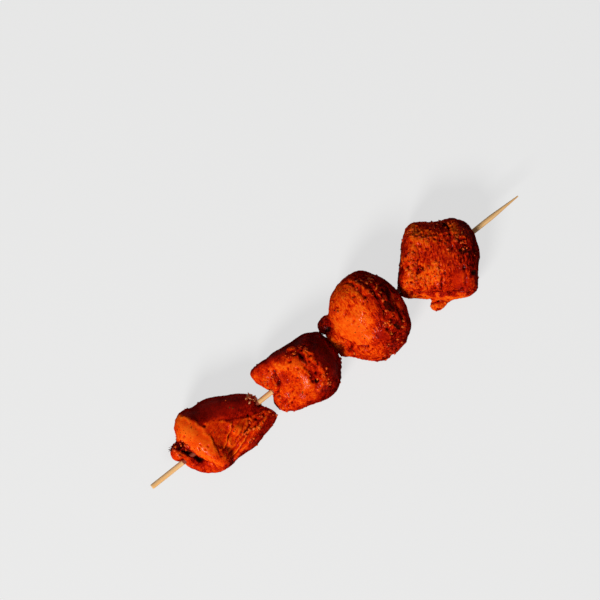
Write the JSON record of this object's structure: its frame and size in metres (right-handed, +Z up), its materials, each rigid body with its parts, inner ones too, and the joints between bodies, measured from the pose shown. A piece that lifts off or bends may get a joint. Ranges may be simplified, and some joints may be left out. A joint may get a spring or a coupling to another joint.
{
  "type": "chicken kebab skewer",
  "caption": "Chunks of marinated grilled chicken threaded on a thin pointed bamboo stick, lying on their flat undersides, to serve or eat by hand.",
  "frame": {"origin": "on the surface that the kebab lies on, under the middle of its bounding box", "axes": "+X along the stick from its blunt end to its point, +Z up from the surface, +Y completes the right-handed frame"},
  "size_m": [0.23, 0.0464, 0.0349],
  "materials": {
    "bamboo": "pale dry bamboo with fine lengthwise grain",
    "marinated_chicken": "moist grilled meat under an orange-red spice marinade, darker where it is thick or charred"
  },
  "bodies": {
    "root": {"bamboo_stick": "bamboo", "chicken_chunk_1": "marinated_chicken", "chicken_chunk_2": "marinated_chicken", "chicken_chunk_3": "marinated_chicken", "chicken_chunk_4": "marinated_chicken"}
  },
  "joints": []
}
